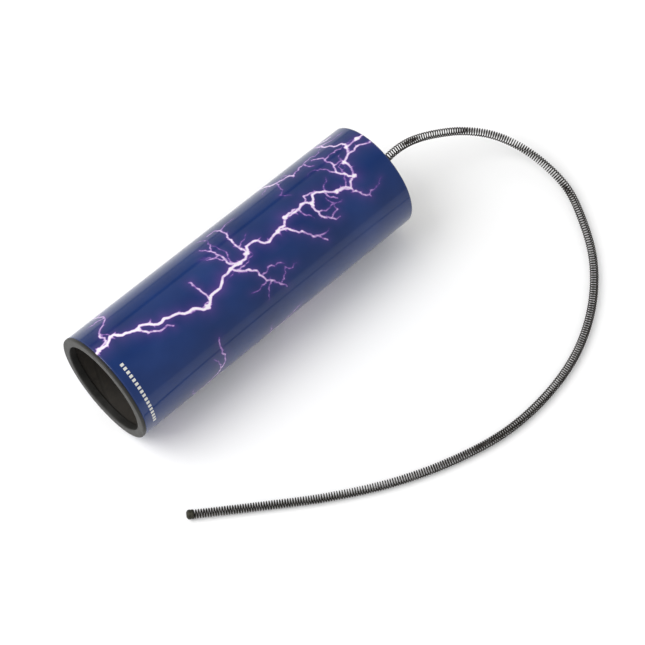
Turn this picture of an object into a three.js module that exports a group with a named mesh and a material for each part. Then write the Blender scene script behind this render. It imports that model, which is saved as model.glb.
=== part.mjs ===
// Thunder tube (spring drum): a rigid tube lying along X, open at -X, closed at +X by a drumhead
// that carries a long coil spring. Millimetres, +Z up, standing on z = 0.
import * as THREE from "three";

// Driving dimensions
const OUTER_RADIUS = 30;
const BODY_LENGTH = 181.2; // open rim face to the printed film's far edge
const FACETS = 48; // sides of the large round pieces
const FIT = 0.12; // clearance between pieces that touch
const EDGE_CHAMFER = 0.3; // on the head ring, the stud's flange and the tip cap's skirt
const THREAD_CHAMFER = 0.4; // on the stud's end, its barb and the nut

// Tube wall, from the inside out
const SHELL_INNER_RADIUS = 26;
const SHELL_OUTER_RADIUS = 29.4;
const WRAP_THICKNESS = 0.42;
const COLLAR_SEAT_DEPTH = 0.55; // the shell is turned down by this much under the film's collar
const COLLAR_SEAT_LENGTH = 8;

// Trim ring in the open end
const TRIM_FACE = 1.6; // the lip that covers the wall's edge
const TRIM_WALL = 0.65; // the leg inside the bore
const TRIM_INNER_LEG = 4;
const TRIM_OUTER_ROUND = 1.5;
const TRIM_INNER_ROUND = 0.6;

// Drumhead, measured along the tube from the open rim
const FILM_THICKNESS = 0.3;
const FILM_FACE = 180.1; // outer face of the film where it crosses the shell's edge
const SKIN_RADIUS = 25.7; // the part of the film that is free to move
const DOME_HEIGHT = 0.8; // the spring's pull leaves the skin slightly domed
const HEAD_RING_INNER_RADIUS = 27.4;
const OUTER_DOT_RADIUS = 11;
const INNER_DOT_RADIUS = 9;
const DOT_THICKNESS = 0.25;
const STUD_HOLE_RADIUS = 1.7;

// Anchor hardware, an M3 stud
const WASHER_RADIUS = 4.5;
const WASHER_THICKNESS = 0.8;
const STUD_SHANK_RADIUS = 1.5;
const STUD_FLANGE_RADIUS = 3.4;
const STUD_FLANGE_THICKNESS = 1.2;
const STUD_NECK_RADIUS = 0.9;
const STUD_BARB_RADIUS = 1.4;
const STUD_BARB_LENGTH = 1.8;
const STUD_SPIGOT_LENGTH = 4.4;
const STUD_INNER_REACH = 7.2; // shank length behind the flange
const NUT_ACROSS_FLATS = 5.5;
const NUT_THICKNESS = 4;

// Spring
const SPRING_DIAMETER = 4.6;
const SPRING_BORE_RADIUS = 1.6;
const END_COILS_LENGTH = 4;
const END_COILS_MIDDLE = 2.65; // from the stud's flange
const END_COILS_TILT = 12; // degrees towards +Y: the loop pulls the coils over on the spigot
const END_COILS_GAP = 0.4; // to the free spring
const SPRING_SIDES = 8;
const SPRING_STEP = 10;
const HINGE_GAP = 0.9; // room for a section to turn against its neighbour
const HINGE_DISTANCES = [18, 46, 84, 146, 208, 274, 342]; // along the spring from its end coils
const TIP_CAP_DIAMETER = 4.8;
const TIP_CAP_LENGTH = 3.3;
const TIP_CAP_ROUND = 1.2;

// Derived places
const AXIS_HEIGHT = OUTER_RADIUS * Math.cos(Math.PI / FACETS); // the tube rests on one flat facet
const SKIN_BACK = FILM_FACE - FILM_THICKNESS;
const DOT_FACE = FILM_FACE + FIT + DOT_THICKNESS + DOME_HEIGHT;
const FLANGE_BACK = DOT_FACE + FIT + WASHER_THICKNESS + FIT;
const FLANGE_FACE = FLANGE_BACK + STUD_FLANGE_THICKNESS;
const STUD_END = FLANGE_FACE + STUD_SPIGOT_LENGTH;
const OPEN_RIM_X = -STUD_END / 2; // puts x = 0 at the middle of tube and stud together
const COILS_MIDDLE_X = OPEN_RIM_X + FLANGE_FACE + END_COILS_MIDDLE;
const COILS_TILT = THREE.MathUtils.degToRad(END_COILS_TILT);
const SPRING_LEAD = END_COILS_LENGTH / 2 + END_COILS_GAP;
const SPRING_REST_HEIGHT = 2.4;

// The spring's route in x, y, z: out of the end coils, down to the table, round in one open loop
// and back beside the tube. It ends where the tip cap starts.
const SPRING_ROUTE = [
  [COILS_MIDDLE_X + SPRING_LEAD * Math.cos(COILS_TILT), SPRING_LEAD * Math.sin(COILS_TILT), AXIS_HEIGHT],
  [102, 2.5, 30],
  [113, 3, 29],
  [124, 2, 26],
  [136, -2, 23],
  [148, -8, 19.5],
  [159, -18, 16],
  [167, -30, 11],
  [171, -46, 7],
  [170, -65, 4],
  [161, -85, 2.8],
  [147, -105, SPRING_REST_HEIGHT],
  [126, -123, SPRING_REST_HEIGHT],
  [100, -136, SPRING_REST_HEIGHT],
  [72, -142, SPRING_REST_HEIGHT],
  [42, -142, SPRING_REST_HEIGHT],
  [12, -135, SPRING_REST_HEIGHT],
  [-18, -123, SPRING_REST_HEIGHT],
  [-46, -107, SPRING_REST_HEIGHT],
  [-73, -88, SPRING_REST_HEIGHT],
  [-99, -69, SPRING_REST_HEIGHT],
];

const materials = {
  shell: { color: 0x3a342c, roughness: 0.85 },
  wrap: { color: 0x24357c, roughness: 0.15 },
  trim: { color: 0x3c3c3a, roughness: 0.55 },
  film: { color: 0xe9e6dc, roughness: 0.35 },
  ring: { color: 0x1c1c1e, roughness: 0.5 },
  dot: { color: 0x202022, roughness: 0.4 },
  steel: { color: 0x6a6764, roughness: 0.35, metalness: 1 },
  zinc: { color: 0xb9bcc0, roughness: 0.3, metalness: 1 },
};

const drum = new THREE.Group();

function add(name, geometry, material) {
  const mesh = new THREE.Mesh(geometry, new THREE.MeshStandardMaterial(materials[material]));
  mesh.name = name;
  drum.add(mesh);
  return mesh;
}

// Turns a closed outline of [radius, distance from the open rim] round the tube's axis.
function turned(outline, sides = FACETS) {
  const points = [...outline, outline[0]].map(([radius, distance]) => new THREE.Vector2(radius, distance));
  const geometry = new THREE.LatheGeometry(points, sides, Math.PI / sides);
  geometry.rotateZ(-Math.PI / 2);
  geometry.translate(OPEN_RIM_X, 0, AXIS_HEIGHT);
  return geometry;
}

// A plain ring: a rectangle turned round the axis.
function ring(innerRadius, outerRadius, from, to, sides = FACETS) {
  return turned([[innerRadius, from], [outerRadius, from], [outerRadius, to], [innerRadius, to]], sides);
}

function arcPoints(centreRadius, centreDistance, radius, fromDegrees, toDegrees, steps) {
  const points = [];
  for (let i = 0; i <= steps; i += 1) {
    const angle = THREE.MathUtils.degToRad(fromDegrees + ((toDegrees - fromDegrees) * i) / steps);
    points.push([centreRadius + radius * Math.cos(angle), centreDistance + radius * Math.sin(angle)]);
  }
  return points;
}

// Height of the domed skin above its edge at a given radius
function dome(radius) {
  return DOME_HEIGHT * (1 - (radius / SKIN_RADIUS) ** 2);
}

// A thin disc with a centre hole that follows the dome, from back to back + thickness.
function domedDisc(holeRadius, outerRadius, back, thickness, steps) {
  const radii = [];
  for (let i = 0; i <= steps; i += 1) {
    radii.push(holeRadius + ((outerRadius - holeRadius) * i) / steps);
  }
  const backSide = radii.map((radius) => [radius, back + dome(radius)]);
  const frontSide = radii.map((radius) => [radius, back + thickness + dome(radius)]).reverse();
  return turned([...backSide, ...frontSide]);
}

function tubeWall() {
  const shellStart = TRIM_FACE + FIT;
  const shellEnd = SKIN_BACK - FIT;
  const seatRadius = SHELL_OUTER_RADIUS - COLLAR_SEAT_DEPTH;
  const seatStart = shellEnd - COLLAR_SEAT_LENGTH;
  add("tube_shell", turned([
    [SHELL_INNER_RADIUS, shellStart],
    [SHELL_OUTER_RADIUS, shellStart],
    [SHELL_OUTER_RADIUS, seatStart],
    [seatRadius, seatStart],
    [seatRadius, shellEnd],
    [SHELL_INNER_RADIUS, shellEnd],
  ]), "shell");
  const wrapInner = OUTER_RADIUS - WRAP_THICKNESS;
  add("graphic_wrap", ring(wrapInner, OUTER_RADIUS, TRIM_FACE + FIT, BODY_LENGTH), "wrap");
}

// A ring pushed into the open end: its rounded lip covers the wall's edge and its leg sits in the bore.
function openEndTrim() {
  const legOuter = SHELL_INNER_RADIUS - FIT;
  const legInner = legOuter - TRIM_WALL;
  const outerRound = TRIM_OUTER_ROUND;
  const innerRound = TRIM_INNER_ROUND;
  add("open_end_trim", turned([
    ...arcPoints(OUTER_RADIUS - outerRound, outerRound, outerRound, -90, 0, 5),
    [OUTER_RADIUS, TRIM_FACE],
    [legOuter, TRIM_FACE],
    [legOuter, TRIM_INNER_LEG],
    [legInner, TRIM_INNER_LEG],
    ...arcPoints(legInner + innerRound, innerRound, innerRound, 180, 270, 3),
  ]), "trim");
}

function drumhead() {
  const collarOuter = SHELL_OUTER_RADIUS + FIT / 2;
  const collarInner = collarOuter - FILM_THICKNESS;
  const collarEnd = FILM_FACE - COLLAR_SEAT_LENGTH + FIT * 4;
  add("drumhead_collar", turned([
    [SKIN_RADIUS + FIT, SKIN_BACK],
    [collarInner, SKIN_BACK],
    [collarInner, collarEnd],
    [collarOuter, collarEnd],
    [collarOuter, FILM_FACE],
    [SKIN_RADIUS + FIT, FILM_FACE],
  ]), "film");
  add("drumhead_skin", domedDisc(STUD_HOLE_RADIUS, SKIN_RADIUS, SKIN_BACK, FILM_THICKNESS, 5), "film");
  add("head_ring", turned([
    [HEAD_RING_INNER_RADIUS, FILM_FACE + 2 * FIT],
    [SHELL_OUTER_RADIUS, FILM_FACE + 2 * FIT],
    [SHELL_OUTER_RADIUS, BODY_LENGTH - EDGE_CHAMFER],
    [SHELL_OUTER_RADIUS - EDGE_CHAMFER, BODY_LENGTH],
    [HEAD_RING_INNER_RADIUS + EDGE_CHAMFER, BODY_LENGTH],
    [HEAD_RING_INNER_RADIUS, BODY_LENGTH - EDGE_CHAMFER],
  ]), "ring");
  add("outer_dot", domedDisc(STUD_HOLE_RADIUS, OUTER_DOT_RADIUS, FILM_FACE + FIT, DOT_THICKNESS, 3), "dot");
  const innerDotBack = SKIN_BACK - FIT - DOT_THICKNESS;
  add("inner_dot", domedDisc(STUD_HOLE_RADIUS, INNER_DOT_RADIUS, innerDotBack, DOT_THICKNESS, 3), "dot");
}

function hexNut(boreRadius, acrossFlats, thickness, back) {
  const chamfer = THREAD_CHAMFER;
  const cornerRadius = acrossFlats / Math.sqrt(3) - chamfer;
  const hexagon = new THREE.Shape();
  for (let i = 0; i < 6; i += 1) {
    const angle = (i * Math.PI) / 3;
    const point = [cornerRadius * Math.cos(angle), cornerRadius * Math.sin(angle)];
    if (i === 0) hexagon.moveTo(...point);
    else hexagon.lineTo(...point);
  }
  hexagon.closePath();
  const bore = new THREE.Path();
  bore.absarc(0, 0, boreRadius + chamfer, 0, 2 * Math.PI, true);
  hexagon.holes.push(bore);
  const geometry = new THREE.ExtrudeGeometry(hexagon, {
    depth: thickness - 2 * chamfer,
    curveSegments: 20,
    bevelEnabled: true,
    bevelThickness: chamfer,
    bevelSize: chamfer,
    bevelSegments: 1,
  });
  geometry.translate(0, 0, chamfer);
  geometry.rotateY(Math.PI / 2);
  geometry.translate(OPEN_RIM_X + back, 0, AXIS_HEIGHT);
  return geometry;
}

function anchor() {
  const sides = 24;
  const washerBack = DOT_FACE + FIT;
  const innerDotBack = SKIN_BACK - FIT - DOT_THICKNESS + dome(WASHER_RADIUS);
  const innerWasherFace = innerDotBack - FIT;
  const innerWasherBack = innerWasherFace - WASHER_THICKNESS;
  const nutBack = innerWasherBack - FIT - NUT_THICKNESS;
  const washer = (back, face) => ring(STUD_HOLE_RADIUS, WASHER_RADIUS, back, face, sides);
  add("outer_washer", washer(washerBack, washerBack + WASHER_THICKNESS), "zinc");
  add("inner_washer", washer(innerWasherBack, innerWasherFace), "zinc");
  add("lock_nut", hexNut(STUD_HOLE_RADIUS, NUT_ACROSS_FLATS, NUT_THICKNESS, nutBack), "zinc");
  const barbStart = STUD_END - STUD_BARB_LENGTH;
  add("anchor_stud", turned([
    [0, FLANGE_BACK - STUD_INNER_REACH],
    [STUD_SHANK_RADIUS - THREAD_CHAMFER, FLANGE_BACK - STUD_INNER_REACH],
    [STUD_SHANK_RADIUS, FLANGE_BACK - STUD_INNER_REACH + THREAD_CHAMFER],
    [STUD_SHANK_RADIUS, FLANGE_BACK],
    [STUD_FLANGE_RADIUS - EDGE_CHAMFER, FLANGE_BACK],
    [STUD_FLANGE_RADIUS, FLANGE_BACK + EDGE_CHAMFER],
    [STUD_FLANGE_RADIUS, FLANGE_FACE - EDGE_CHAMFER],
    [STUD_FLANGE_RADIUS - EDGE_CHAMFER, FLANGE_FACE],
    [STUD_NECK_RADIUS, FLANGE_FACE],
    [STUD_NECK_RADIUS, barbStart],
    [STUD_BARB_RADIUS, barbStart + THREAD_CHAMFER],
    [STUD_NECK_RADIUS * 0.7, STUD_END],
    [0, STUD_END],
  ], sides), "zinc");
  add("spring_end_coils", endCoils(), "steel");
}

// The close-wound end of the spring, a loose push fit on the stud's spigot and tilted on it.
function endCoils() {
  const start = FLANGE_FACE + END_COILS_MIDDLE - END_COILS_LENGTH / 2;
  const geometry = ring(SPRING_BORE_RADIUS, SPRING_DIAMETER / 2, start, start + END_COILS_LENGTH, 16);
  geometry.translate(-COILS_MIDDLE_X, 0, -AXIS_HEIGHT);
  geometry.rotateZ(COILS_TILT);
  geometry.translate(COILS_MIDDLE_X, 0, AXIS_HEIGHT);
  return geometry;
}

// One stretch of the route, between two distances along it.
class RouteStretch extends THREE.Curve {
  constructor(route, from, to) {
    super();
    this.route = route;
    this.length = route.getLength();
    this.from = from;
    this.to = to;
  }

  getPoint(t, target = new THREE.Vector3()) {
    const distance = THREE.MathUtils.lerp(this.from, this.to, t);
    return this.route.getPointAt(THREE.MathUtils.clamp(distance / this.length, 0, 1), target);
  }
}

function polygon(radius, sides) {
  const shape = new THREE.Shape();
  for (let i = 0; i < sides; i += 1) {
    const angle = (2 * Math.PI * (i + 0.5)) / sides;
    const point = [radius * Math.cos(angle), radius * Math.sin(angle)];
    if (i === 0) shape.moveTo(...point);
    else shape.lineTo(...point);
  }
  shape.closePath();
  return shape;
}

function springSections(route) {
  const bounds = [0, ...HINGE_DISTANCES, route.getLength()];
  for (let i = 0; i + 1 < bounds.length; i += 1) {
    const from = bounds[i] + (i === 0 ? 0 : HINGE_GAP / 2);
    const to = bounds[i + 1] - (i + 2 === bounds.length ? 0 : HINGE_GAP / 2);
    const geometry = new THREE.ExtrudeGeometry(polygon(SPRING_DIAMETER / 2, SPRING_SIDES), {
      steps: Math.max(2, Math.round((to - from) / SPRING_STEP)),
      extrudePath: new RouteStretch(route, from, to),
      bevelEnabled: false,
    });
    add(`spring_section_${i + 1}`, geometry, "steel");
  }
}

// The rounded cap crimped on the spring's free end, in line with the route's last direction.
function tipCap(route) {
  const radius = TIP_CAP_DIAMETER / 2;
  const outline = [
    [0, 0],
    [radius - EDGE_CHAMFER, 0],
    [radius, EDGE_CHAMFER],
    ...arcPoints(radius - TIP_CAP_ROUND, TIP_CAP_LENGTH - TIP_CAP_ROUND, TIP_CAP_ROUND, 0, 90, 4),
    [0, TIP_CAP_LENGTH],
  ];
  const points = outline.map(([x, y]) => new THREE.Vector2(x, y));
  const geometry = new THREE.LatheGeometry(points, 16, Math.PI / 16);
  const direction = route.getTangentAt(1);
  geometry.applyQuaternion(new THREE.Quaternion().setFromUnitVectors(new THREE.Vector3(0, 1, 0), direction));
  const start = route.getPointAt(1).addScaledVector(direction, FIT);
  geometry.translate(start.x, start.y, TIP_CAP_DIAMETER / 2);
  add("spring_tip_cap", geometry, "steel");
}

const springRoute = new THREE.CatmullRomCurve3(SPRING_ROUTE.map((point) => new THREE.Vector3(...point)));
springRoute.arcLengthDivisions = 2000;

tubeWall();
openEndTrim();
drumhead();
anchor();
springSections(springRoute);
tipCap(springRoute);

export default drum;
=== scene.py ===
import math
import random

import bmesh
import bpy
import numpy as np
from mathutils import Matrix, Vector


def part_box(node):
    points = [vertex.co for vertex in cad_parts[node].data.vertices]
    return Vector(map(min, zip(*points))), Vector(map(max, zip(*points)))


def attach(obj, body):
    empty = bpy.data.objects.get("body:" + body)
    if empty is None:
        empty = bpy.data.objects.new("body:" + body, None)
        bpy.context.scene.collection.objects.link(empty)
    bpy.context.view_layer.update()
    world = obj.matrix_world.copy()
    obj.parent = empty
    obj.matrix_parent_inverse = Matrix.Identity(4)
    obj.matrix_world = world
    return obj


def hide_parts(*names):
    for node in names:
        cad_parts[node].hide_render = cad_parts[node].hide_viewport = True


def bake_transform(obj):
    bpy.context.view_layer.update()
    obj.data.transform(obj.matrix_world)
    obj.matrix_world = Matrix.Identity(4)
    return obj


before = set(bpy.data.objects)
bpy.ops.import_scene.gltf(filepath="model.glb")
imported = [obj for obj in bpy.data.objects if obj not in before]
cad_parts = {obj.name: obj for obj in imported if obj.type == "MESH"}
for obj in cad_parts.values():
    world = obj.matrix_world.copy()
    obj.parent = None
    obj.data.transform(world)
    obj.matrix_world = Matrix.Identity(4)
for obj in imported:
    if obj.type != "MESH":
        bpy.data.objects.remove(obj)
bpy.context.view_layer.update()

MM = 0.001

# Places taken from the frame
WRAP_LOW, WRAP_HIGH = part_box("graphic_wrap")
TRIM_LOW, TRIM_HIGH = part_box("open_end_trim")
SHELL_LOW, SHELL_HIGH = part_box("tube_shell")
COLLAR_LOW, COLLAR_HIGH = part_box("drumhead_collar")
SKIN_LOW, SKIN_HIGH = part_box("drumhead_skin")
RING_LOW, RING_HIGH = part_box("head_ring")
STUD_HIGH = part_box("anchor_stud")[1]
AXIS_Z = (WRAP_LOW.z + WRAP_HIGH.z) / 2
TUBE_RADIUS = (WRAP_HIGH.z - WRAP_LOW.z) / 2
OPEN_RIM_X = TRIM_LOW.x
STUD_HOLE_RADIUS = 0.0017

# The photograph's view of the tube
CAMERA_TARGET = (0.0206, -0.0335, 0.0)
CAMERA_DISTANCE = 0.9586
CAMERA_ELEVATION = 59.95
CAMERA_HEADING = 43.53  # from +Y towards +X, the way the camera looks
CAMERA_LENS = 104.5

# Spring
SPRING_DIAMETER = 4.6 * MM
WIRE_DIAMETER = 0.65 * MM
OPEN_PITCH = 1.275 * MM
ROOT_STRETCH = 0.3 * MM  # more pitch at the root, where the spring carries its own weight
ROOT_REACH = 45 * MM
LANDING_STRETCH = 0.19 * MM  # and where the loop comes down to the table
LANDING_DISTANCE = 165 * MM
LANDING_REACH = 50 * MM
CLOSE_PITCH = 0.72 * MM
END_COILS_TILT = math.radians(12)  # the loop pulls the end coils over towards +Y on their spigot
END_COILS_LENGTH = 4 * MM
END_COILS_GAP = 0.4 * MM
FLANGE_FACE_X = STUD_HIGH.x - 4.4 * MM
END_COILS_MIDDLE = Vector((FLANGE_FACE_X + 2.65 * MM, 0, AXIS_Z))
END_COILS_LINE = Vector((math.cos(END_COILS_TILT), math.sin(END_COILS_TILT), 0))
HINGE_DISTANCES = [0.018, 0.046, 0.084, 0.146, 0.208, 0.274, 0.342]
REST_HEIGHT = 0.0024
SPRING_ROUTE = [
    tuple(END_COILS_MIDDLE + END_COILS_LINE * (END_COILS_LENGTH / 2 + END_COILS_GAP)),
    (0.102, 0.0025, 0.03),
    (0.113, 0.003, 0.029),
    (0.124, 0.002, 0.026),
    (0.136, -0.002, 0.023),
    (0.148, -0.008, 0.0195),
    (0.159, -0.018, 0.016),
    (0.167, -0.03, 0.011),
    (0.171, -0.046, 0.007),
    (0.17, -0.065, 0.004),
    (0.161, -0.085, 0.0028),
    (0.147, -0.105, REST_HEIGHT),
    (0.126, -0.123, REST_HEIGHT),
    (0.1, -0.136, REST_HEIGHT),
    (0.072, -0.142, REST_HEIGHT),
    (0.042, -0.142, REST_HEIGHT),
    (0.012, -0.135, REST_HEIGHT),
    (-0.018, -0.123, REST_HEIGHT),
    (-0.046, -0.107, REST_HEIGHT),
    (-0.073, -0.088, REST_HEIGHT),
    (-0.099, -0.069, REST_HEIGHT),
]


# ---------------------------------------------------------------- camera


def make_camera():
    elevation = math.radians(CAMERA_ELEVATION)
    heading = math.radians(CAMERA_HEADING)
    forward = Vector((
        math.sin(heading) * math.cos(elevation),
        math.cos(heading) * math.cos(elevation),
        -math.sin(elevation),
    ))
    data = bpy.data.cameras.new("camera")
    data.lens = CAMERA_LENS
    data.clip_start = 0.01
    camera = bpy.data.objects.new("camera", data)
    camera.location = Vector(CAMERA_TARGET) - forward * CAMERA_DISTANCE
    camera.rotation_euler = forward.to_track_quat("-Z", "Y").to_euler()
    bpy.context.scene.collection.objects.link(camera)
    bpy.context.scene.camera = camera


# ---------------------------------------------------------------- node materials


class NodeMaker:
    """Short calls that add nodes to a node tree."""

    def __init__(self, tree):
        self.tree = tree

    def feed(self, socket, value):
        """Sets a socket to a value, or links it where value is another node's output."""
        if isinstance(value, bpy.types.NodeSocket):
            self.tree.links.new(value, socket)
        elif isinstance(value, tuple) and len(value) == 3 and len(socket.default_value) == 4:
            socket.default_value = (*value, 1)
        else:
            socket.default_value = value

    def node(self, kind, inputs=None, **settings):
        made = self.tree.nodes.new(kind)
        for key, value in settings.items():
            setattr(made, key, value)
        for key, value in (inputs or {}).items():
            self.feed(made.inputs[key], value)
        return made

    def coordinates(self, scale=(1, 1, 1), shift=(0, 0, 0)):
        """Object coordinates in the row frame, shifted and then scaled."""
        place = self.node("ShaderNodeTexCoord").outputs["Object"]
        moved = self.node("ShaderNodeVectorMath", {0: place, 1: shift}, operation="ADD")
        scaled = self.node("ShaderNodeVectorMath", {0: moved.outputs[0], 1: scale}, operation="MULTIPLY")
        return scaled.outputs[0]

    def noise(self, vector, scale, detail=3.0, roughness=0.5):
        inputs = {"Vector": vector, "Scale": scale, "Detail": detail, "Roughness": roughness}
        return self.node("ShaderNodeTexNoise", inputs).outputs["Fac"]

    def ramp(self, factor, *stops):
        made = self.node("ShaderNodeValToRGB", {"Fac": factor})
        elements = made.color_ramp.elements
        while len(elements) < len(stops):
            elements.new(0.5)
        for element, (position, value) in zip(elements, stops):
            element.position = position
            element.color = (*value, 1) if isinstance(value, tuple) else (value, value, value, 1)
        return made.outputs["Color"]

    def math(self, operation, a, b=0.0, c=0.0):
        return self.node("ShaderNodeMath", {0: a, 1: b, 2: c}, operation=operation).outputs[0]

    def mix(self, factor, a, b):
        return self.node("ShaderNodeMix", {0: factor, 6: a, 7: b}, data_type="RGBA").outputs[2]


class Shader(NodeMaker):
    """A Principled material."""

    def __init__(self, name, **values):
        self.material = bpy.data.materials.new(name)
        self.material.use_nodes = True
        super().__init__(self.material.node_tree)
        self.surface = self.tree.nodes["Principled BSDF"]
        for key, value in values.items():
            self.set(key.replace("_", " "), value)

    def set(self, socket, value):
        self.feed(self.surface.inputs[socket], value)

    def bump(self, height, strength, distance):
        made = self.node("ShaderNodeBump", {"Height": height, "Strength": strength, "Distance": distance})
        self.set("Normal", made.outputs["Normal"])


def wrap_material():
    """Glossy printed film: lightning over a clouded blue ground, under a thin clear coat."""
    shader = Shader(
        "printed_film",
        Roughness=0.38,
        Specular_IOR_Level=0.12,
        Coat_Weight=0.8,
        Coat_Roughness=0.04,
        Coat_IOR=1.38,
    )
    place = shader.coordinates()
    clouds = shader.noise(place, 30.0, 3.0, 0.5)
    ground = shader.ramp(
        clouds, (0.32, (0.004, 0.019, 0.092)), (0.55, (0.006, 0.026, 0.120)), (0.75, (0.011, 0.036, 0.150))
    )
    core = shader.node("ShaderNodeAttribute", attribute_name="bolt_core").outputs["Fac"]
    glow = shader.node("ShaderNodeAttribute", attribute_name="bolt_glow").outputs["Fac"]
    sparks = shader.noise(place, 620.0, 5.0, 0.62)
    ragged = shader.math("MULTIPLY_ADD", shader.math("SUBTRACT", sparks, 0.5), 0.75, 1.0)
    level = shader.math("MULTIPLY", core, ragged)
    haze = shader.math("MULTIPLY", glow, shader.ramp(clouds, (0.35, 0.25), (0.7, 0.75)))
    hazed = shader.mix(haze, ground, (0.130, 0.050, 0.250))
    tint = shader.ramp(
        level,
        (0.36, (0.10, 0.045, 0.26)),
        (0.48, (0.30, 0.16, 0.44)),
        (0.60, (0.58, 0.44, 0.66)),
        (0.76, (0.76, 0.72, 0.77)),
    )
    cover = shader.ramp(level, (0.28, 0.0), (0.46, 0.8), (0.62, 1.0))
    printed = shader.mix(cover, hazed, tint)
    shader.set("Base Color", shader.mix(dash_mask(shader), printed, (0.58, 0.58, 0.54)))
    shader.bump(shader.noise(place, 420.0, 2.0), 0.03, 0.0003)
    return shader.material


def dash_mask(shader):
    """One plain row of dashes printed round part of the open end."""
    place = shader.node("ShaderNodeSeparateXYZ", {0: shader.coordinates(shift=(-OPEN_RIM_X, 0, -AXIS_Z))})
    across = shader.math("COMPARE", place.outputs["X"], 0.0072, 0.0009)
    drop = shader.math("MULTIPLY", place.outputs["Y"], -1.0)
    angle = shader.math("DEGREES", shader.math("ARCTAN2", drop, place.outputs["Z"]))
    within = shader.math("COMPARE", angle, 54.0, 37.0)
    dash = shader.math("LESS_THAN", shader.math("FRACT", shader.math("DIVIDE", angle, 4.4)), 0.62)
    return shader.math("MULTIPLY", across, shader.math("MULTIPLY", within, dash))


def trim_material():
    """Dark moulded rubber: its front face is painted paler as a painted sheen, and it darkens inwards from
    the face as painted shade inside the bore.
    """
    shader = Shader("rim_trim", Specular_IOR_Level=0.4)
    place = shader.coordinates()
    cloud = shader.noise(place, 160.0, 4.0, 0.6)
    from_rim = shader.coordinates(shift=(-OPEN_RIM_X, 0, 0))
    inwards = shader.node("ShaderNodeSeparateXYZ", {0: from_rim}).outputs["X"]
    depth = shader.math("DIVIDE", inwards, 0.002)
    # face is the rubber's colour with a painted sheen for the front face; rubber is the same rubber darkened
    # as painted shade on the leg inside the bore
    face = shader.ramp(cloud, (0.3, (0.015, 0.015, 0.013)), (0.7, (0.033, 0.032, 0.029)))
    rubber = shader.ramp(cloud, (0.3, (0.007, 0.007, 0.006)), (0.7, (0.013, 0.012, 0.010)))
    # Painted sheen at the front face, fading to painted shade by 1.6 mm inwards
    painted_sheen_to_shade = shader.ramp(depth, (0.0, 1.0), (0.12, 0.85), (0.3, 0.4), (0.6, 0.12), (0.8, 0.0))
    shader.set("Base Color", shader.mix(painted_sheen_to_shade, rubber, face))
    shader.set("Roughness", shader.ramp(cloud, (0.3, 0.45), (0.7, 0.62)))
    shader.bump(shader.noise(place, 1500.0, 3.0, 0.6), 0.25, 0.0002)
    return shader.material


def fibre_material():
    """Spiral-wound vulcanised fibre: dark brown, with fine slanted bands."""
    shader = Shader("fibre_shell", Specular_IOR_Level=0.35)
    place = shader.coordinates(shift=(0, 0, -AXIS_Z))
    parts = shader.node("ShaderNodeSeparateXYZ", {0: place})
    angle = shader.math("ARCTAN2", parts.outputs["Y"], parts.outputs["Z"])
    turn = shader.math("MULTIPLY_ADD", parts.outputs["X"], 2 * math.pi / 0.052, angle)
    band = shader.math("SINE", turn)
    fibres = shader.noise(shader.coordinates(scale=(0.25, 1, 1)), 900.0, 5.0, 0.7)
    mottled = shader.noise(shader.coordinates(), 70.0, 4.0, 0.6)
    base = shader.ramp(mottled, (0.3, (0.011, 0.009, 0.007)), (0.7, (0.024, 0.020, 0.015)))
    flecked = shader.mix(shader.ramp(fibres, (0.5, 0.0), (0.75, 0.5)), base, (0.045, 0.037, 0.028))
    seam = shader.ramp(shader.math("MULTIPLY_ADD", band, 0.5, 0.5), (0.0, 0.6), (0.004, 1.0))
    shader.set("Base Color", shader.mix(seam, (0.008, 0.007, 0.005), flecked))
    shader.set("Roughness", shader.ramp(fibres, (0.3, 0.6), (0.7, 0.85)))
    height = shader.math("MULTIPLY_ADD", fibres, 0.3, seam)
    shader.bump(height, 0.4, 0.0003)
    return shader.material


def film_material():
    """Milky drumhead film with a fine sprayed coating."""
    shader = Shader("drum_film", Subsurface_Weight=0.15, Subsurface_Scale=0.002)
    place = shader.coordinates()
    cloud = shader.noise(place, 55.0, 3.0, 0.5)
    shader.set("Base Color", shader.ramp(cloud, (0.3, (0.66, 0.64, 0.58)), (0.7, (0.76, 0.75, 0.70))))
    shader.set("Roughness", shader.ramp(shader.noise(place, 900.0, 2.0), (0.3, 0.34), (0.7, 0.5)))
    shader.bump(shader.noise(place, 2600.0, 2.0, 0.6), 0.12, 0.0001)
    return shader.material


def plastic_material(name, dark, light, roughness):
    """Black moulded plastic or pressed dot film with light handling wear."""
    shader = Shader(name)
    place = shader.coordinates()
    cloud = shader.noise(place, 240.0, 4.0, 0.6)
    shader.set("Base Color", shader.ramp(cloud, (0.35, (dark,) * 3), (0.7, (light,) * 3)))
    shader.set("Roughness", shader.ramp(cloud, (0.3, roughness), (0.7, roughness + 0.18)))
    shader.bump(shader.noise(place, 1800.0, 2.0), 0.12, 0.0001)
    return shader.material


def zinc_material():
    """Bright zinc plate with turned rings and slightly dull patches."""
    shader = Shader("zinc_plate", Metallic=1.0)
    place = shader.coordinates(shift=(0, 0, -AXIS_Z))
    cloud = shader.noise(place, 320.0, 4.0, 0.6)
    shader.set("Base Color", shader.ramp(cloud, (0.3, (0.50, 0.50, 0.51)), (0.7, (0.66, 0.67, 0.69))))
    shader.set("Roughness", shader.ramp(cloud, (0.3, 0.22), (0.7, 0.4)))
    parts = shader.node("ShaderNodeSeparateXYZ", {0: place})
    across = shader.math("POWER", parts.outputs["Y"], 2.0)
    radius = shader.math("SQRT", shader.math("ADD", across, shader.math("POWER", parts.outputs["Z"], 2.0)))
    rings = shader.math("SINE", shader.math("MULTIPLY", radius, 2 * math.pi / 0.00012))
    shader.bump(rings, 0.08, 0.00003)
    return shader.material


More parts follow.
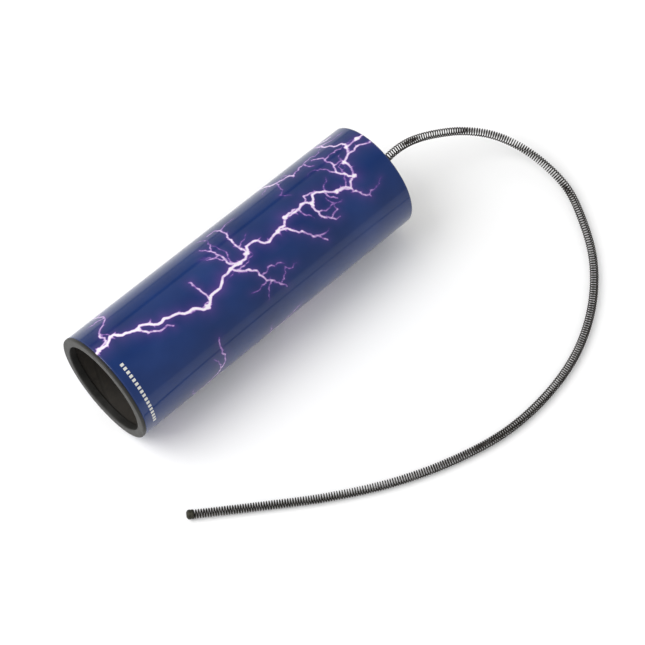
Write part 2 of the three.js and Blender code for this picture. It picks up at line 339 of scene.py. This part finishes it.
def wire_material():
    """Oil-tempered spring wire: dark grey steel with brownish and bare patches."""
    shader = Shader("spring_wire", Metallic=1.0)
    place = shader.coordinates()
    cloud = shader.noise(place, 210.0, 4.0, 0.65)
    shader.set("Base Color", shader.ramp(
        cloud, (0.32, (0.030, 0.026, 0.023)), (0.55, (0.055, 0.050, 0.046)), (0.78, (0.12, 0.112, 0.105))
    ))
    shader.set("Roughness", shader.ramp(cloud, (0.3, 0.45), (0.7, 0.3)))
    shader.bump(shader.noise(place, 4000.0, 2.0), 0.1, 0.00003)
    return shader.material


def cap_material():
    """Dull grey-brown metal of the crimped end cap."""
    shader = Shader("cap_metal", Metallic=0.85)
    place = shader.coordinates()
    cloud = shader.noise(place, 900.0, 4.0, 0.7)
    shader.set("Base Color", shader.ramp(cloud, (0.3, (0.020, 0.019, 0.014)), (0.7, (0.062, 0.060, 0.046))))
    shader.set("Roughness", shader.ramp(cloud, (0.3, 0.4), (0.7, 0.62)))
    shader.bump(cloud, 0.5, 0.0001)
    return shader.material


def nylon_material():
    """The lock nut's nylon insert."""
    shader = Shader("nylon_insert", Subsurface_Weight=0.2, Subsurface_Scale=0.001)
    place = shader.coordinates()
    cloud = shader.noise(place, 500.0, 3.0)
    shader.set("Base Color", shader.ramp(cloud, (0.3, (0.05, 0.11, 0.32)), (0.7, (0.08, 0.16, 0.42))))
    shader.set("Roughness", shader.ramp(cloud, (0.3, 0.45), (0.7, 0.6)))
    return shader.material


def floor_material():
    shader = Shader("floor", Roughness=0.7)
    cloud = shader.noise(shader.coordinates(), 3.0, 2.0)
    shader.set("Base Color", shader.ramp(cloud, (0.3, 0.90), (0.7, 0.915)))
    return shader.material


# ---------------------------------------------------------------- mesh helpers


def finished(name, mesh_data, material, sharp_degrees=38):
    """A smooth-shaded object from a bmesh, with its sharper edges kept."""
    bmesh.ops.remove_doubles(mesh_data, verts=mesh_data.verts, dist=1e-7)
    bmesh.ops.recalc_face_normals(mesh_data, faces=mesh_data.faces)
    limit = math.radians(sharp_degrees)
    for face in mesh_data.faces:
        face.smooth = True
    for edge in mesh_data.edges:
        edge.smooth = len(edge.link_faces) != 2 or edge.calc_face_angle(0.0) < limit
    mesh = bpy.data.meshes.new(name)
    mesh_data.to_mesh(mesh)
    mesh_data.free()
    mesh.materials.append(material)
    made = bpy.data.objects.new(name, mesh)
    bpy.context.scene.collection.objects.link(made)
    return made


def rounded(outline, radius, steps=4):
    """A closed outline of (x, r) points with its corners rounded. A point may carry its own radius."""
    points = [Vector(p[:2]) for p in outline]
    radii = [p[2] if len(p) > 2 else radius for p in outline]
    result = []
    for i, corner in enumerate(points):
        before = points[i - 1] - corner
        after = points[(i + 1) % len(points)] - corner
        half = before.angle(after) / 2
        reach = radii[i] / math.tan(half) if radii[i] else 0.0
        reach = min(reach, before.length * 0.49, after.length * 0.49)
        if reach < 1e-7 or abs(half - math.pi / 2) < 0.02:
            result.append(corner)
            continue
        start = corner + before.normalized() * reach
        end = corner + after.normalized() * reach
        for k in range(steps + 1):
            t = k / steps
            result.append((1 - t) ** 2 * start + 2 * t * (1 - t) * corner + t**2 * end)
    return result


def join_rings(mesh_data, rings, following):
    """Faces from each ring of vertices to the one beside it in the second list."""
    for first, second in zip(rings, following):
        for k in range(len(first)):
            j = (k + 1) % len(first)
            mesh_data.faces.new((first[k], first[j], second[j], second[k]))


def turned(name, outline, material, sides=128, sharp_degrees=38):
    """A closed outline of (x, r) points turned round the tube's axis."""
    mesh_data = bmesh.new()
    rings = []
    for i in range(sides):
        angle = 2 * math.pi * i / sides
        ring = [
            mesh_data.verts.new((p[0], p[1] * math.sin(angle), AXIS_Z + p[1] * math.cos(angle)))
            for p in outline
        ]
        rings.append(ring)
    count = len(outline)
    for i, ring in enumerate(rings):
        following = rings[(i + 1) % sides]
        for j in range(count):
            k = (j + 1) % count
            if outline[j][1] < 1e-9 and outline[k][1] < 1e-9:
                continue
            corners = (ring[j], ring[k], following[k], following[j])
            mesh_data.faces.new(corners)
    return finished(name, mesh_data, material, sharp_degrees)


# ---------------------------------------------------------------- spring


def route_curve(points, steps=60):
    """Points along the centripetal Catmull-Rom curve through the given ones."""
    given = np.array(points, float)
    knots = np.vstack([2 * given[0] - given[1], given, 2 * given[-1] - given[-2]])
    fine = []
    for i in range(1, len(knots) - 2):
        p0, p1, p2, p3 = knots[i - 1:i + 3]
        gaps = [math.sqrt(np.linalg.norm(b - a)) for a, b in ((p0, p1), (p1, p2), (p2, p3))]
        out = (p1 - p0) / gaps[0] - (p2 - p0) / (gaps[0] + gaps[1]) + (p2 - p1) / gaps[1]
        into = (p2 - p1) / gaps[1] - (p3 - p1) / (gaps[1] + gaps[2]) + (p3 - p2) / gaps[2]
        out, into = out * gaps[1], into * gaps[1]
        for t in np.arange(steps) / steps:
            blend = (
                (2 * t**3 - 3 * t**2 + 1) * p1
                + (t**3 - 2 * t**2 + t) * out
                + (3 * t**2 - 2 * t**3) * p2
                + (t**3 - t**2) * into
            )
            fine.append(blend)
    fine.append(given[-1])
    return np.array(fine)


class SpringLine:
    """The spring's centreline by distance from its free start, run back straight through the end coils."""

    def __init__(self):
        free = route_curve(SPRING_ROUTE)
        back = free[0] - np.array(END_COILS_LINE) * (END_COILS_LENGTH + END_COILS_GAP)
        lead = np.linspace(back, free[0], 40)[:-1]
        self.points = np.vstack([lead, free])
        steps = np.linalg.norm(np.diff(self.points, axis=0), axis=1)
        self.distance = np.concatenate([[0], np.cumsum(steps)])
        self.distance -= self.distance[len(lead)]
        self.start, self.end = self.distance[0], self.distance[-1]
        self.tangents = np.gradient(self.points, self.distance, axis=0)
        self.tangents /= np.linalg.norm(self.tangents, axis=1)[:, None]
        self.normals = self._carried_normals()

    def _carried_normals(self):
        normal = np.array([0.0, 0.0, 1.0])
        normals = []
        for tangent in self.tangents:
            normal = normal - tangent * (normal @ tangent)
            normal = normal / np.linalg.norm(normal)
            normals.append(normal)
        return np.array(normals)

    def at(self, table, distances):
        return np.stack([np.interp(distances, self.distance, table[:, k]) for k in range(3)], axis=1)


def coil_turns(line, end):
    """Distances along the line for equal steps of coil angle, close-wound first and then open."""
    rng = random.Random(7)
    steps_per_turn = 18
    distances = [line.start + WIRE_DIAMETER / 2]
    pitch_noise = 0.0
    while distances[-1] < end:
        s = distances[-1]
        if len(distances) % steps_per_turn == 0:
            pitch_noise = rng.uniform(-0.03, 0.03)
        opening = min(1.0, max(0.0, (s + 0.0006) / 0.005))
        root = ROOT_STRETCH * math.exp(-max(s, 0) / ROOT_REACH)
        landing = LANDING_STRETCH * math.exp(-(((s - LANDING_DISTANCE) / LANDING_REACH) ** 2))
        open_pitch = (OPEN_PITCH + root + landing) * (1 + pitch_noise)
        pitch = CLOSE_PITCH + (open_pitch - CLOSE_PITCH) * opening**2 * (3 - 2 * opening)
        distances.append(s + pitch / steps_per_turn)
    return np.array(distances), steps_per_turn


def wire_mesh(name, centres, outward, along, material):
    """A wire of round section through the given centres, closed at both ends."""
    sides = 6
    radius = WIRE_DIAMETER / 2
    across = np.cross(along, outward)
    mesh_data = bmesh.new()
    rings = []
    for centre, out, side in zip(centres, outward, across):
        ring = []
        for k in range(sides):
            angle = 2 * math.pi * k / sides
            offset = radius * (math.cos(angle) * out + math.sin(angle) * side)
            ring.append(mesh_data.verts.new(centre + offset))
        rings.append(ring)
    join_rings(mesh_data, rings, rings[1:])
    mesh_data.faces.new(rings[0])
    mesh_data.faces.new(rings[-1])
    return finished(name, mesh_data, material, 80)


def make_spring(material, cap_metal):
    line = SpringLine()
    distances, steps_per_turn = coil_turns(line, line.end + 0.002)
    inside = np.minimum(distances, line.end)
    centres = line.at(line.points, inside)
    tangents = line.at(line.tangents, inside)
    centres = centres + tangents * (distances - inside)[:, None]
    normals = line.at(line.normals, inside)
    binormals = np.cross(tangents, normals)
    angle = -2 * math.pi * np.arange(len(distances)) / steps_per_turn  # a left-hand winding
    outward = np.cos(angle)[:, None] * normals + np.sin(angle)[:, None] * binormals
    wire = centres + outward * (SPRING_DIAMETER - WIRE_DIAMETER) / 2
    along = np.gradient(wire, axis=0)
    along /= np.linalg.norm(along, axis=1)[:, None]

    def stretch(name, start, end):
        first, last = np.searchsorted(distances, (start, end))
        pick = slice(first, last + 1)
        return wire_mesh(name, wire[pick], outward[pick], along[pick], material)

    winding = stretch("spring_end_winding", line.start, 0.0)
    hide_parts("spring_end_coils")
    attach(winding, "spring_mount")

    cap = make_tip_cap(line, cap_metal)
    bounds = [0.0, *HINGE_DISTANCES, line.end]
    middles = [(a + b) / 2 for a, b in zip(bounds, bounds[1:])]
    cuts = [0.0, *middles[1:-1], line.end]
    for i, (start, end) in enumerate(zip(cuts, cuts[1:])):
        tail = end == line.end
        piece = stretch(f"spring_coils_{i + 1}", start, line.end + 0.0015 if tail else end)
        nodes = [f"spring_section_{i + 1}"] + (["spring_section_8"] if tail else [])
        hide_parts(*nodes)
        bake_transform(piece)


def make_tip_cap(line, material):
    """The crimped cap on the free end: a rounded ferrule with a groove and fine ribs round its skirt."""
    length, radius = 0.0034, 0.00236
    profile = rounded([
        (-0.0002, 0, 0), (-0.0002, radius - 0.0001, 0.00015), (0.0007, radius, 0.0001),
        (0.0010, radius - 0.00018, 0.0001), (0.0013, radius, 0.0001), (length - 0.0008, radius, 0.0009),
        (length, radius - 0.0011, 0.0008), (length, 0, 0),
    ], 0.0001, 6)
    sides = 48
    mesh_data = bmesh.new()
    rings = []
    for i in range(sides):
        angle = 2 * math.pi * i / sides
        rib = 1 + (0.012 if i % 3 == 0 else 0.0)
        rings.append([
            mesh_data.verts.new((r * rib * math.cos(angle), r * rib * math.sin(angle), along))
            for along, r in profile
        ])
    for first, second in zip(rings, rings[1:] + rings[:1]):
        for j in range(len(profile) - 1):
            mesh_data.faces.new((first[j], first[j + 1], second[j + 1], second[j]))
    tangent = Vector(line.tangents[-1])
    turn = Vector((0, 0, 1)).rotation_difference(tangent).to_matrix().to_4x4()
    place = Matrix.Translation(Vector(line.points[-1]) + Vector((0, 0, 0.0001)))
    bmesh.ops.transform(mesh_data, matrix=place @ turn, verts=mesh_data.verts)
    cap = finished("spring_tip_ferrule", mesh_data, material, 50)
    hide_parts("spring_tip_cap")
    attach(cap, "spring_arc_5")
    return cap


# ---------------------------------------------------------------- lightning print

# The print is a plain lightning pattern of this script's own, grown from a seed
PRINT_SEED = 7
TRUNKS = 3  # bolts that run the length of the tube, evenly spaced round it
TRUNK_STEP = 9.0  # mm between a trunk's turns
FORK_CHANCE = 0.5  # at each turn
FORK_LENGTHS = (16, 44)  # mm


class PrintGrid:
    """Brightness of the print over the unrolled wrap, one value for each mesh vertex."""

    def __init__(self, rows, columns, start_mm, length_mm, around_mm):
        self.along = start_mm + np.linspace(0, length_mm, rows)
        self.around = np.arange(columns) * around_mm / columns
        self.circumference = around_mm
        self.core = np.zeros((rows, columns))
        self.glow = np.zeros((rows, columns))

    def stroke(self, a, b, power_a, power_b, width=1.15, glow_reach=3.2):
        """Draws one straight stroke from a to b, both (along, around) in mm."""
        reach = 2.2 * glow_reach
        row_low, row_high = np.searchsorted(self.along, (min(a[0], b[0]) - reach, max(a[0], b[0]) + reach))
        middle = (a[1] + b[1]) / 2
        offset = (self.around - middle + self.circumference / 2) % self.circumference - self.circumference / 2
        columns = np.nonzero(np.abs(offset) < abs(b[1] - a[1]) / 2 + reach)[0]
        if row_high <= row_low or not len(columns):
            return
        x = self.along[row_low:row_high, None] - a[0]
        y = offset[columns][None, :] + middle - a[1]
        dx, dy = b[0] - a[0], b[1] - a[1]
        t = np.clip((x * dx + y * dy) / max(dx * dx + dy * dy, 1e-9), 0, 1)
        away = np.hypot(x - t * dx, y - t * dy)
        power = power_a + (power_b - power_a) * t
        window = np.ix_(np.arange(row_low, row_high), columns)
        self.core[window] = np.maximum(self.core[window], power * np.exp(-((away / width) ** 2)))
        self.glow[window] = np.maximum(self.glow[window], power * np.exp(-((away / glow_reach) ** 1.3)))

    def knot(self, centre, size, rng):
        """A bright ragged blot where bolts meet."""
        for _ in range(7):
            spot = (centre[0] + rng.gauss(0, size * 0.6), centre[1] + rng.gauss(0, size * 0.6))
            self.stroke(centre, spot, 1.0, 0.8, 0.85 + 0.25 * size, 2.5 + size)


def jagged(points, rng, rounds=2, swing=0.13):
    """The same line with its middle points pushed sideways again and again."""
    for _ in range(rounds):
        denser = [points[0]]
        for a, b in zip(points, points[1:]):
            dx, dy = b[0] - a[0], b[1] - a[1]
            push = rng.gauss(0, swing)
            denser.append(((a[0] + b[0]) / 2 - dy * push, (a[1] + b[1]) / 2 + dx * push))
            denser.append(b)
        points = denser
    return points


def draw_spike(grid, root, direction, length, power, rng):
    """A short side spark that fades and thins towards its tip."""
    x, y = root
    steps = 3
    for i in range(steps):
        direction += rng.uniform(-0.5, 0.5)
        end = (x + length / steps * math.cos(direction), y + length / steps * math.sin(direction))
        near = power * (1 - 0.5 * i / steps)
        far = power * (1 - 0.5 * (i + 1) / steps)
        grid.stroke((x, y), end, near, far, 0.8, 1.5)
        x, y = end


def draw_bolt(grid, points, power, rng):
    """One jagged bolt through the points, fading towards its end, with sparks along it."""
    path = jagged(points, rng)
    level = power
    for i, (a, b) in enumerate(zip(path, path[1:])):
        fade = 1 - 0.35 * i / len(path)
        following = power * fade * rng.uniform(0.85, 1.08)
        grid.stroke(a, b, level, following, 0.5 + 0.4 * power, 3.0 * power)
        level = following
        if rng.random() < 0.42:
            heading = math.atan2(b[1] - a[1], b[0] - a[0]) + rng.choice((-1, 1)) * rng.uniform(0.8, 1.7)
            draw_spike(grid, b, heading, rng.uniform(0.9, 3.2) * power, 0.86 * level, rng)


def wander(start, heading, length, step, pull, rng):
    """Corner points of a bolt that strays from its heading and is pulled back towards it."""
    points = [start]
    turn = 0.0
    travelled = 0.0
    while travelled < length:
        stride = step * rng.uniform(0.6, 1.3)
        turn = turn * (1 - pull) + rng.gauss(0, 0.55)
        x, y = points[-1]
        points.append((x + stride * math.cos(heading + turn), y + stride * math.sin(heading + turn)))
        travelled += stride
    return points


def grow_forks(grid, trunk, power, depth, rng):
    """Side bolts from a bolt's corners, each weaker and shorter than the one it leaves."""
    for a, b in zip(trunk[1:], trunk[2:]):
        if rng.random() > FORK_CHANCE:
            continue
        heading = math.atan2(b[1] - a[1], b[0] - a[0]) + rng.choice((-1, 1)) * rng.uniform(0.65, 1.3)
        length = rng.uniform(*FORK_LENGTHS) * power / (1 + depth)
        fork = wander(a, heading, length, 0.55 * TRUNK_STEP, 0.35, rng)
        draw_bolt(grid, fork, 0.88 * power, rng)
        if depth == 0:
            grid.knot(a, 0.9, rng)
            grow_forks(grid, fork, 0.75 * power, depth + 1, rng)


def printed_grid(rows, columns, start_mm, length_mm, radius_mm):
    """Trunk bolts along the tube, with their forks."""
    around_mm = 2 * math.pi * radius_mm
    grid = PrintGrid(rows, columns, start_mm, length_mm, around_mm)
    rng = random.Random(PRINT_SEED)
    for i in range(TRUNKS):
        start = (start_mm - 4, (i + rng.uniform(-0.12, 0.12)) * around_mm / TRUNKS)
        trunk = wander(start, 0.0, 1.2 * length_mm, TRUNK_STEP, 0.6, rng)
        draw_bolt(grid, trunk, 1.0, rng)
        grow_forks(grid, trunk, 0.9, 0, rng)
    return grid


def make_wrap(material):
    """The printed film as a thin closed sleeve, its outside dense enough to carry the print."""
    columns = 320
    rows = 308
    start = WRAP_LOW.x
    length = WRAP_HIGH.x - WRAP_LOW.x
    inner_radius = TUBE_RADIUS - 0.00042
    lap = 0.00012  # the film's overlap at its lengthwise seam
    grid = printed_grid(rows, columns, (start - OPEN_RIM_X) / MM, length / MM, TUBE_RADIUS / MM)
    theta = 2 * math.pi * np.arange(columns) / columns
    seam_distance = (theta - math.radians(215)) % (2 * math.pi)
    outer_radius = np.where(seam_distance < math.radians(13), TUBE_RADIUS, TUBE_RADIUS - lap)
    printed = [(start + length * i / (rows - 1), "print") for i in range(rows)]
    outline = [(start, None), *printed, (start + length, None)]
    coordinates = np.zeros((len(outline), columns, 3))
    for i, (x, kind) in enumerate(outline):
        radius = outer_radius if kind else np.full(columns, inner_radius)
        coordinates[i, :, 0] = x
        coordinates[i, :, 1] = -radius * np.sin(theta)
        coordinates[i, :, 2] = AXIS_Z + radius * np.cos(theta)
    edge = 0.00008
    coordinates[1, :, 1:] -= (coordinates[1, :, 1:] - [0, AXIS_Z]) * edge / TUBE_RADIUS
    count = len(outline)
    index = np.arange(count * columns).reshape(count, columns)
    around = np.roll(index, -1, axis=1)
    following = np.roll(index, -1, axis=0)
    diagonal = np.roll(around, -1, axis=0)
    faces = np.stack([index, following, diagonal, around], axis=-1).reshape(-1, 4)
    mesh = bpy.data.meshes.new("printed_wrap")
    mesh.from_pydata(coordinates.reshape(-1, 3).tolist(), [], faces.tolist())
    for name, values in (("bolt_core", grid.core), ("bolt_glow", grid.glow)):
        padded = np.vstack([values[:1], values, values[-1:]])
        attribute = mesh.attributes.new(name, "FLOAT", "POINT")
        attribute.data.foreach_set("value", padded.ravel().astype(np.float32))
    mesh.materials.append(material)
    mesh.shade_smooth()
    made = bpy.data.objects.new("printed_wrap", mesh)
    bpy.context.scene.collection.objects.link(made)
    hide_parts("graphic_wrap")
    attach(made, "tube")
    return made


# ---------------------------------------------------------------- tube, trim and head


def placed(made, body, slot, *nodes):
    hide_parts(*nodes)
    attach(made, body)
    return made


def make_trim(material):
    """Ring pushed into the open end: a rounded lip over the wall's edge and a leg inside the bore."""
    start, end = TRIM_LOW.x, TRIM_HIGH.x
    outer = TUBE_RADIUS
    leg_outer = TUBE_RADIUS - 0.00412
    leg_inner = TUBE_RADIUS - 0.00477
    outline = rounded([
        (start, outer, 0.0015), (start + 0.0016, outer, 0.0001), (start + 0.0016, leg_outer, 0),
        (end, leg_outer, 0.0002), (end, leg_inner, 0.0003), (start, leg_inner, 0.0007),
    ], 0.0, 10)
    placed(turned("rim_trim_ring", outline, material, 160), "tube", "rim_trim", "open_end_trim")


def make_shell(material):
    start, end = SHELL_LOW.x, SHELL_HIGH.x
    inner = TUBE_RADIUS - 0.004
    outer = TUBE_RADIUS - 0.0006
    seat = end - 0.008
    seat_outer = outer - 0.00055
    outline = rounded([
        (start, inner), (start, outer), (seat, outer), (seat, seat_outer), (end, seat_outer, 0.0004),
        (end, inner, 0.0006),
    ], 0.0001, 4)
    placed(turned("fibre_tube", outline, material, 160), "tube", "fibre_shell", "tube_shell")


def dome(radius):
    """How far the skin stands out at a radius, above its clamped edge."""
    height = SKIN_HIGH.x - COLLAR_HIGH.x
    share = radius / (SKIN_HIGH.z - AXIS_Z)
    return height * (1 - share * share)


def domed_disc(name, hole, outer, face, thickness, material, steps, sides=128):
    """A thin disc with a centre hole that follows the skin's dome. face is its outer side's edge plane."""
    radii = [hole + (outer - hole) * i / steps for i in range(steps + 1)]
    front = [(face + dome(r), r) for r in radii]
    back = [(face - thickness + dome(r), r) for r in reversed(radii)]
    return turned(name, front + back, material, sides, 40)


def make_head(film, ring_plastic, dot_film):
    face = COLLAR_HIGH.x
    film_thickness = COLLAR_HIGH.x - SKIN_LOW.x
    hole = STUD_HOLE_RADIUS
    skin_edge = SKIN_HIGH.z - AXIS_Z + 0.0001
    skin = domed_disc("drumhead_film", hole, skin_edge, face, film_thickness, film, 26, 160)
    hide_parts("drumhead_skin")
    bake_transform(skin)

    collar_outer = COLLAR_HIGH.z - AXIS_Z
    collar_inner = collar_outer - 0.0003
    collar_end = COLLAR_LOW.x
    film_back = face - film_thickness
    outline = rounded([
        (film_back, skin_edge, 0), (film_back, collar_inner, 0.0002), (collar_end, collar_inner, 0),
        (collar_end, collar_outer, 0), (face, collar_outer, 0.0005), (face, skin_edge, 0),
    ], 0.0, 5)
    placed(turned("film_collar", outline, film, 160), "tube", "drum_film", "drumhead_collar")

    outer, inner = RING_HIGH.z - AXIS_Z, 0.0274
    low, high = RING_LOW.x, RING_HIGH.x
    outline = rounded([
        (low, inner, 0), (low, outer, 0.0001), (high, outer, 0.0004), (high, inner, 0.0003),
    ], 0.0, 5)
    placed(turned("head_edge_ring", outline, ring_plastic, 160), "tube", "black_ring", "head_ring")

    dot_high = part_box("outer_dot")[1]
    outer_dot = domed_disc("outer_head_dot", hole, dot_high.z - AXIS_Z, face + 0.00037, 0.00025, dot_film, 12)
    placed(outer_dot, "drumhead", "black_dot", "outer_dot")
    dot_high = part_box("inner_dot")[1]
    back = film_back - 0.00012
    inner_dot = domed_disc("inner_head_dot", hole, dot_high.z - AXIS_Z, back, 0.00025, dot_film, 12)
    placed(inner_dot, "drumhead", "black_dot", "inner_dot")


# ---------------------------------------------------------------- anchor hardware


def make_washer(node, name, material):
    low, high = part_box(node)
    hole, outer = STUD_HOLE_RADIUS, high.z - AXIS_Z
    outline = rounded([(low.x, hole), (low.x, outer), (high.x, outer), (high.x, hole)], 0.00016, 4)
    placed(turned(name, outline, material, 72), "drumhead", "zinc_plate", node)


def threaded(x_start, x_end, radius, pitch, depth, sides=28, steps_per_pitch=6):
    """Rows of (x, radius at each side) for a thread: the radius rises and falls with x and the angle."""
    rows = []
    count = int((x_end - x_start) / pitch * steps_per_pitch)
    for i in range(count + 1):
        x = x_start + (x_end - x_start) * i / count
        fade = min(1.0, i / 4, (count - i) / 4)
        radii = []
        for k in range(sides):
            phase = (x / pitch + k / sides) % 1.0
            ridge = abs(phase - 0.5) * 2
            radii.append(radius - depth * fade * ridge)
        rows.append((x, radii))
    return rows


def loft_rings(mesh_data, rows, sides):
    """One ring of vertices round the tube's axis for each row of (x, radii)."""
    rings = []
    for x, radii in rows:
        ring = []
        for k in range(sides):
            angle = 2 * math.pi * k / sides
            radius = radii[k] if isinstance(radii, list) else radii
            place = (x, -radius * math.sin(angle), AXIS_Z + radius * math.cos(angle))
            ring.append(mesh_data.verts.new(place))
        rings.append(ring)
    return rings


def lofted(name, rows, sides, material):
    """A solid through rows of (x, radii), closed with a flat face at each end."""
    mesh_data = bmesh.new()
    rings = loft_rings(mesh_data, rows, sides)
    join_rings(mesh_data, rings, rings[1:])
    mesh_data.faces.new(rings[0])
    mesh_data.faces.new(rings[-1])
    return finished(name, mesh_data, material, 60)


def hollow_loft(name, rows, sides, material):
    """A ring-shaped solid through rows of (x, radii), the last row joined back to the first."""
    mesh_data = bmesh.new()
    rings = loft_rings(mesh_data, rows, sides)
    join_rings(mesh_data, rings, rings[1:] + rings[:1])
    return finished(name, mesh_data, material, 30)


def make_stud(material):
    low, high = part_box("anchor_stud")
    flange_radius = high.z - AXIS_Z
    flange_face = FLANGE_FACE_X
    flange_back = flange_face - 0.0012
    spigot_end = high.x
    barb = spigot_end - 0.0018
    rows = [(low.x, 0.0011)]
    rows += threaded(low.x + 0.0003, flange_back - 0.0003, 0.0015, 0.0005, 0.00022)
    rows += [
        (flange_back, 0.0015), (flange_back, flange_radius - 0.0003), (flange_back + 0.0003, flange_radius),
        (flange_face - 0.0003, flange_radius), (flange_face - 0.0001, flange_radius - 0.0001),
        (flange_face, flange_radius - 0.0003), (flange_face, 0.0009), (barb, 0.0009), (barb + 0.0004, 0.0014),
        (spigot_end - 0.0003, 0.0009), (spigot_end, 0.0006),
    ]
    placed(lofted("anchor_stud_threaded", rows, 28, material), "drumhead", "zinc_plate", "anchor_stud")


def make_nut(material, nylon):
    """A hexagon lock nut with chamfered corners and a nylon ring standing out of its inner end."""
    low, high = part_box("lock_nut")
    flats = 0.0055
    collar_x = low.x + 0.0009
    sides = 72
    bore = STUD_HOLE_RADIUS
    insert_radius = 0.0023
    insert_face = collar_x + 0.0002

    def hexagon(limit):
        radii = []
        for k in range(sides):
            angle = (2 * math.pi * k / sides + math.pi / 6) % (math.pi / 3) - math.pi / 6
            radii.append(min(flats / 2 / math.cos(angle), limit))
        return radii

    corner = flats / math.sqrt(3)
    rows = [
        (collar_x, insert_radius), (collar_x, flats / 2 - 0.0001), (collar_x + 0.0003, hexagon(corner)),
        (high.x - 0.0004, hexagon(corner)), (high.x, hexagon(flats / 2 + 0.0001)), (high.x, bore + 0.0002),
        (high.x - 0.0003, bore), (collar_x, bore),
    ]
    nut = hollow_loft("lock_nut_body", rows, sides, material)
    placed(nut, "drumhead", "zinc_plate", "lock_nut")
    outline = rounded([
        (low.x, bore), (low.x, insert_radius), (insert_face, insert_radius), (insert_face, bore),
    ], 0.0002)
    insert = turned("lock_nut_insert", outline, nylon, 48)
    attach(insert, "drumhead")


# ---------------------------------------------------------------- floor and light


def make_floor(material):
    mesh = bpy.data.meshes.new("floor")
    size = 12.0
    corners = [(-size, -size, 0), (size, -size, 0), (size, size, 0), (-size, size, 0)]
    mesh.from_pydata(corners, [], [(0, 1, 2, 3)])
    mesh.materials.append(material)
    floor = bpy.data.objects.new("floor", mesh)
    floor.location.z = -0.0002
    bpy.context.scene.collection.objects.link(floor)


def area_light(name, place, target, size, power):
    data = bpy.data.lights.new(name, "AREA")
    data.shape = "RECTANGLE"
    data.size, data.size_y = size
    data.energy = power
    light = bpy.data.objects.new(name, data)
    light.location = place
    light.rotation_euler = (Vector(target) - Vector(place)).to_track_quat("-Z", "Y").to_euler()
    bpy.context.scene.collection.objects.link(light)


def make_world():
    """A white backdrop, and a studio dimmer towards +X with two soft boxes there for the film to mirror."""
    world = bpy.data.worlds.new("studio")
    world.use_nodes = True
    bpy.context.scene.world = world
    studio = NodeMaker(world.node_tree)
    direction = studio.node("ShaderNodeTexCoord").outputs["Generated"]
    parts = studio.node("ShaderNodeSeparateXYZ", {0: direction}).outputs
    turn = studio.math("ARCTAN2", parts["Z"], parts["Y"])
    height = studio.math("DIVIDE", turn, math.pi)
    boxes = studio.ramp(
        height, (0.0, 0.12), (0.03, 0.6), (0.15, 0.5), (0.17, 0.03), (0.19, 0.03), (0.21, 0.6), (0.36, 0.5),
        (0.53, 0.15), (0.64, 0.4), (0.95, 0.5),
    )
    left = studio.math("MULTIPLY_ADD", parts["X"], 0.5, 0.5)
    bright = studio.ramp(left, (0.0, 1.0), (0.52, 1.0), (0.6, 0.0), (0.76, 0.0), (0.84, 0.75))
    lighting = studio.mix(bright, boxes, (1.05, 1.05, 1.05))
    seen_directly = studio.node("ShaderNodeLightPath").outputs["Is Camera Ray"]
    backdrop = studio.mix(seen_directly, lighting, (1.0, 1.0, 1.0))
    background = world.node_tree.nodes["Background"]
    world.node_tree.links.new(backdrop, background.inputs["Color"])
    background.inputs["Strength"].default_value = 1.0


def make_light():
    make_world()
    area_light("key", (-0.95, 0.55, 1.3), (0, 0, 0), (1.3, 1.3), 20)
    bpy.context.scene.view_settings.view_transform = "Standard"


make_camera()
wire = wire_material()
make_spring(wire, cap_material())
make_wrap(wrap_material())
make_trim(trim_material())
make_shell(fibre_material())
make_head(
    film_material(),
    plastic_material("black_ring", 0.012, 0.03, 0.35),
    plastic_material("black_dot", 0.014, 0.035, 0.3),
)
zinc = zinc_material()
make_washer("outer_washer", "outer_washer_turned", zinc)
make_washer("inner_washer", "inner_washer_turned", zinc)
make_stud(zinc)
make_nut(zinc, nylon_material())
make_floor(floor_material())
make_light()
